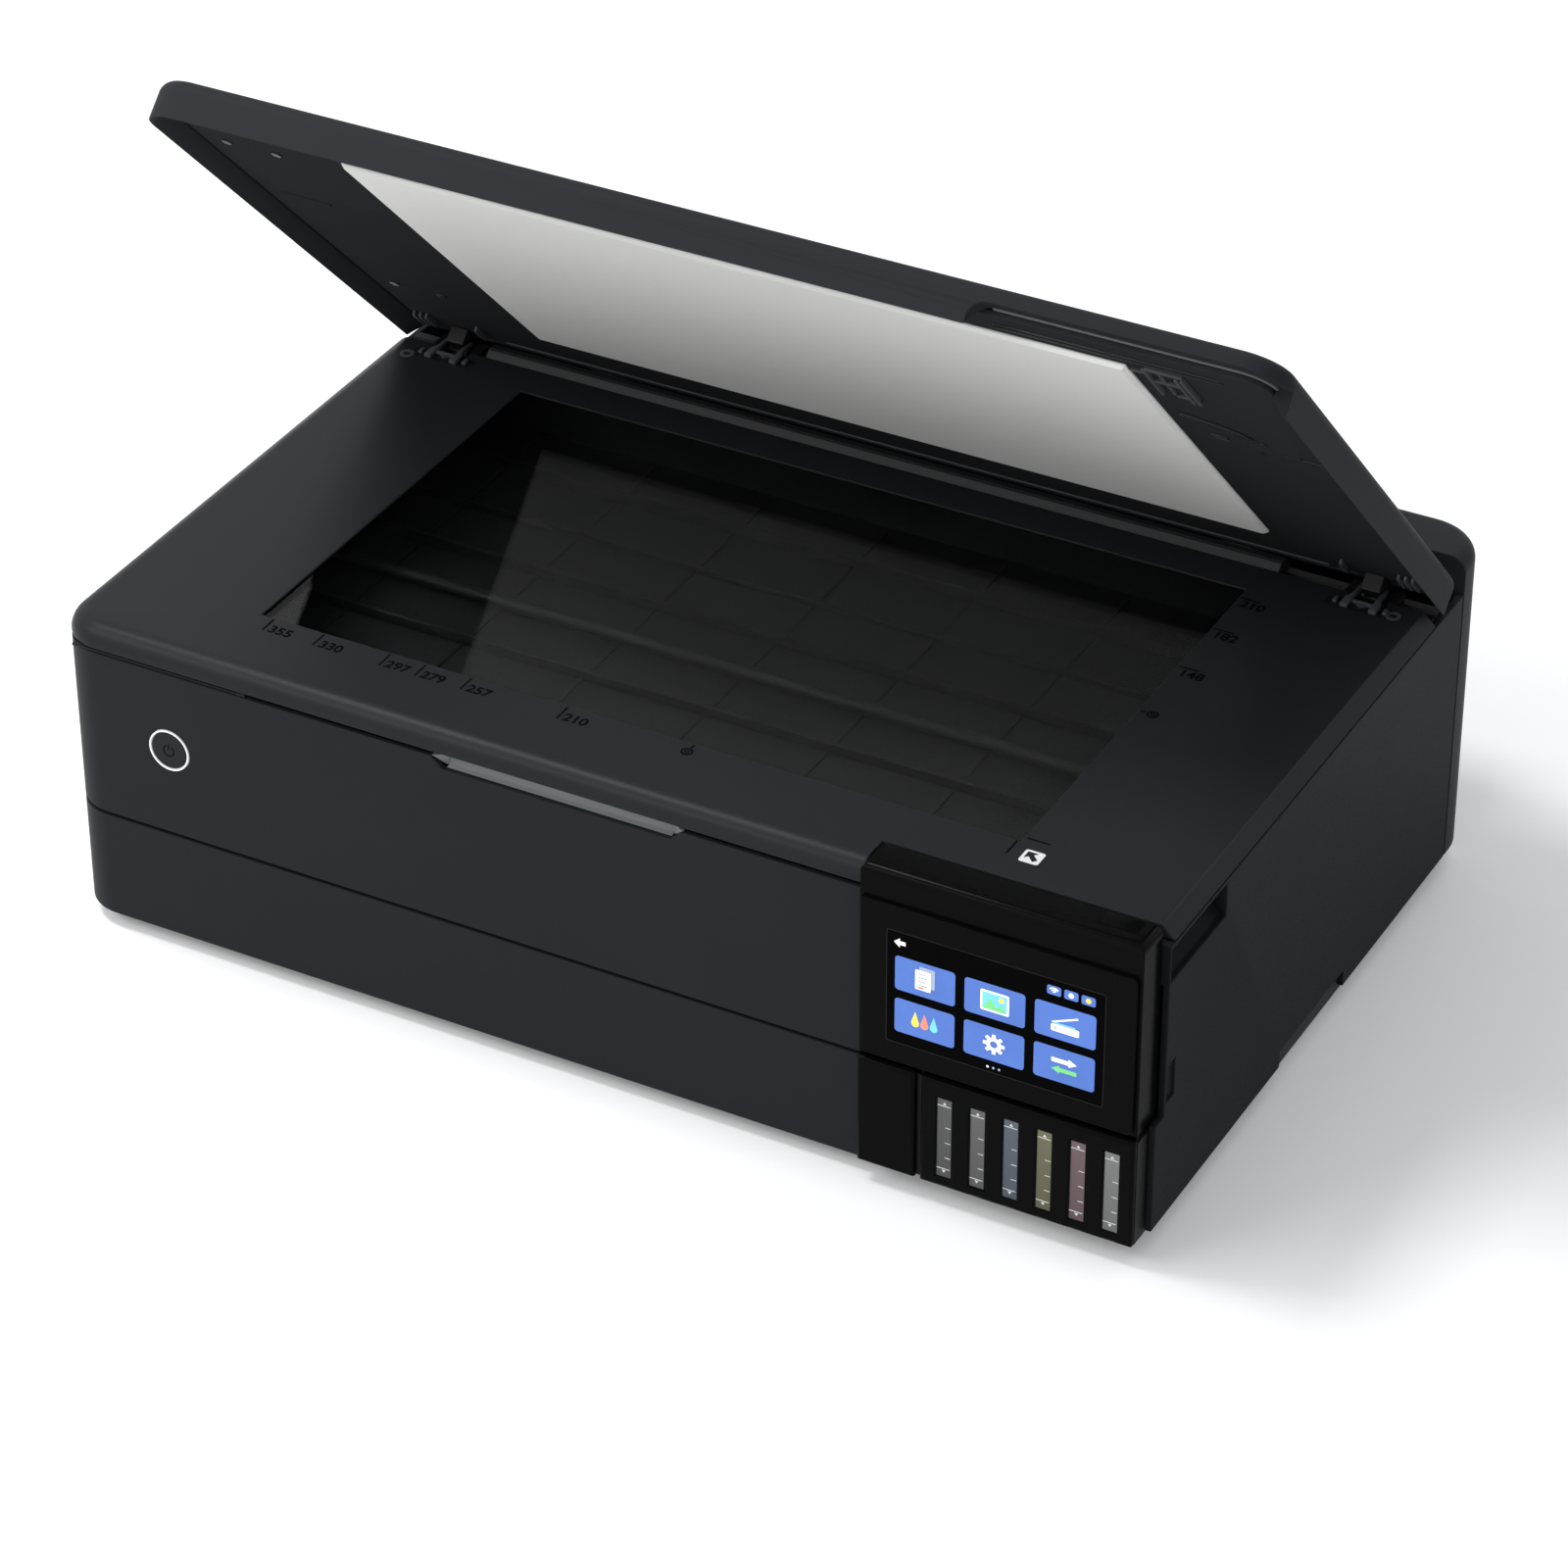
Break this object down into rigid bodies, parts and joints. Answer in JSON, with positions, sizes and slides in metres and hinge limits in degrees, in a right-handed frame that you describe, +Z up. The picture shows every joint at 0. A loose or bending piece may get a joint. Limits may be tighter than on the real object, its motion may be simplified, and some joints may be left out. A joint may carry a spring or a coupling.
{
  "type": "inkjet printer",
  "caption": "Wide flatbed all-in-one inkjet printer with refillable ink tanks, tilting touch panel, fold-down front cover and an open scanner lid.",
  "frame": {"origin": "on the surface it stands on, under the middle of the case's width and depth", "axes": "+X to the right seen from the front, +Y to the rear, +Z up"},
  "size_m": [0.523, 0.379, 0.3686],
  "materials": {
    "charcoal": "fine textured satin",
    "dark_plastic": "matt",
    "ridge_grey": "satin",
    "gloss_black": "polished",
    "screen_black": "glass-like gloss",
    "scan_glass": "clear float glass",
    "mat_white": "soft matt sheet",
    "steel": "zinc plated",
    "rubber": "matt",
    "button_black": "satin",
    "ring_light": "translucent light guide",
    "board_green": "circuit board",
    "waste_foam": "matt",
    "cap_black": "matt",
    "ink_grey": "translucent",
    "ink_black": "translucent",
    "ink_blue": "translucent",
    "ink_yellow": "translucent",
    "ink_magenta": "translucent",
    "ink_clear": "translucent"
  },
  "bodies": {
    "chassis": {"bottom_case": "dark_plastic", "button_board": "board_green", "capping_station": "dark_plastic", "carriage_motor": "steel", "carriage_rod": "steel", "data_ports": "steel", "drive_belt": "rubber", "front_fascia": "charcoal", "ink_tank_1": "ink_grey", "ink_tank_2": "ink_black", "ink_tank_3": "ink_blue", "ink_tank_4": "ink_yellow", "ink_tank_5": "ink_magenta", "ink_tank_6": "ink_clear", "left_side_panel": "charcoal", "main_board": "board_green", "main_frame": "steel", "panel_support": "dark_plastic", "paper_cassette_lower": "dark_plastic", "paper_cassette_upper": "dark_plastic", "platen": "dark_plastic", "power_inlet": "dark_plastic", "power_ring": "ring_light", "power_supply": "steel", "rear_housing": "charcoal", "rear_jam_cover": "charcoal", "right_side_panel": "charcoal", "rubber_feet": "rubber", "scanner_hinge_pins": "steel", "tank_caps": "cap_black", "tank_housing": "dark_plastic", "tank_trim_panel": "gloss_black", "tank_window_panel": "gloss_black", "waste_ink_box": "waste_foam"},
    "scanner_unit": {"scanner_bezel": "charcoal", "scan_glass": "scan_glass", "scanner_tray": "dark_plastic", "hinge_ridge": "ridge_grey", "lid_hinge_pins": "steel", "scan_rod": "steel"},
    "scan_bar": {"scan_bar": "dark_plastic"},
    "lid": {"lid_shell": "charcoal", "lid_liner": "dark_plastic", "document_mat": "mat_white", "lid_hinge_arms": "dark_plastic"},
    "control_panel": {"panel_case": "gloss_black", "panel_hinge_rod": "steel", "touch_screen": "screen_black"},
    "front_cover": {"front_cover": "charcoal"},
    "output_tray": {"output_tray": "dark_plastic"},
    "tray_extension": {"tray_extension": "dark_plastic"},
    "print_carriage": {"print_carriage": "dark_plastic", "print_head": "steel"},
    "drive_pulley": {"drive_pulley": "dark_plastic"},
    "idler_pulley": {"idler_pulley": "dark_plastic"},
    "feed_roller": {"feed_roller": "rubber"},
    "eject_roller": {"eject_roller": "rubber"},
    "pickup_roller": {"pickup_roller": "rubber"},
    "power_button": {"power_button": "button_black"},
    "rear_feed_cover": {"rear_feed_cover": "charcoal"}
  },
  "joints": [
    {"name": "scanner_hinge", "type": "hinge", "parent": "chassis", "child": "scanner_unit", "pos_m": [0, 0.118, 0.146], "axis": [-1, 0, 0], "range_deg": [0, 20]},
    {"name": "lid_hinge", "type": "hinge", "parent": "scanner_unit", "child": "lid", "pos_m": [0, 0.1055, 0.15], "axis": [-1, 0, 0], "range_deg": [-45.8, 15]},
    {"name": "scan_slide", "type": "slide", "parent": "scanner_unit", "child": "scan_bar", "axis": [1, 0, 0], "range_m": [0, 0.44]},
    {"name": "panel_tilt", "type": "hinge", "parent": "chassis", "child": "control_panel", "pos_m": [0.195, -0.174, 0.151], "axis": [-1, 0, 0], "range_deg": [0, 45]},
    {"name": "cover_hinge", "type": "hinge", "parent": "chassis", "child": "front_cover", "pos_m": [-0.065, -0.173, 0.0125], "axis": [1, 0, 0], "range_deg": [0, 88]},
    {"name": "tray_slide", "type": "slide", "parent": "chassis", "child": "output_tray", "axis": [0, -1, 0], "range_m": [0, 0.115]},
    {"name": "extension_slide", "type": "slide", "parent": "output_tray", "child": "tray_extension", "axis": [0, -1, 0], "range_m": [0, 0.115]},
    {"name": "carriage_slide", "type": "slide", "parent": "chassis", "child": "print_carriage", "axis": [1, 0, 0], "range_m": [-0.39, 0]},
    {"name": "drive_pulley_spin", "type": "hinge", "parent": "chassis", "child": "drive_pulley", "pos_m": [0.212, 0.062, 0.1], "axis": [0, 0, 1], "range_deg": [-2800, 10]},
    {"name": "idler_pulley_spin", "type": "hinge", "parent": "chassis", "child": "idler_pulley", "pos_m": [-0.212, 0.062, 0.1], "axis": [0, 0, 1], "range_deg": [-2800, 10]},
    {"name": "feed_roller_spin", "type": "hinge", "parent": "chassis", "child": "feed_roller", "pos_m": [0, 0.05, 0.064], "axis": [1, 0, 0], "continuous": true},
    {"name": "eject_roller_spin", "type": "hinge", "parent": "chassis", "child": "eject_roller", "pos_m": [0, -0.058, 0.064], "axis": [1, 0, 0], "continuous": true},
    {"name": "pickup_roller_spin", "type": "hinge", "parent": "chassis", "child": "pickup_roller", "pos_m": [0, 0.146, 0.132], "axis": [1, 0, 0], "continuous": true},
    {"name": "power_button_press", "type": "slide", "parent": "chassis", "child": "power_button", "axis": [0, 1, 0], "range_m": [0, 0.002], "stiffness_N_per_m": 400},
    {"name": "feed_cover_hinge", "type": "hinge", "parent": "chassis", "child": "rear_feed_cover", "pos_m": [-0.064, 0.151, 0.1645], "axis": [-1, 0, 0], "range_deg": [0, 100]}
  ],
  "couplings": [
    {"joint": "tray_slide", "follows": "cover_hinge", "m_per_rad": 0.074},
    {"joint": "extension_slide", "follows": "cover_hinge", "m_per_rad": 0.074},
    {"joint": "drive_pulley_spin", "follows": "carriage_slide", "rad_per_m": 125},
    {"joint": "idler_pulley_spin", "follows": "carriage_slide", "rad_per_m": 125},
    {"joint": "eject_roller_spin", "follows": "feed_roller_spin", "ratio": 1}
  ]
}
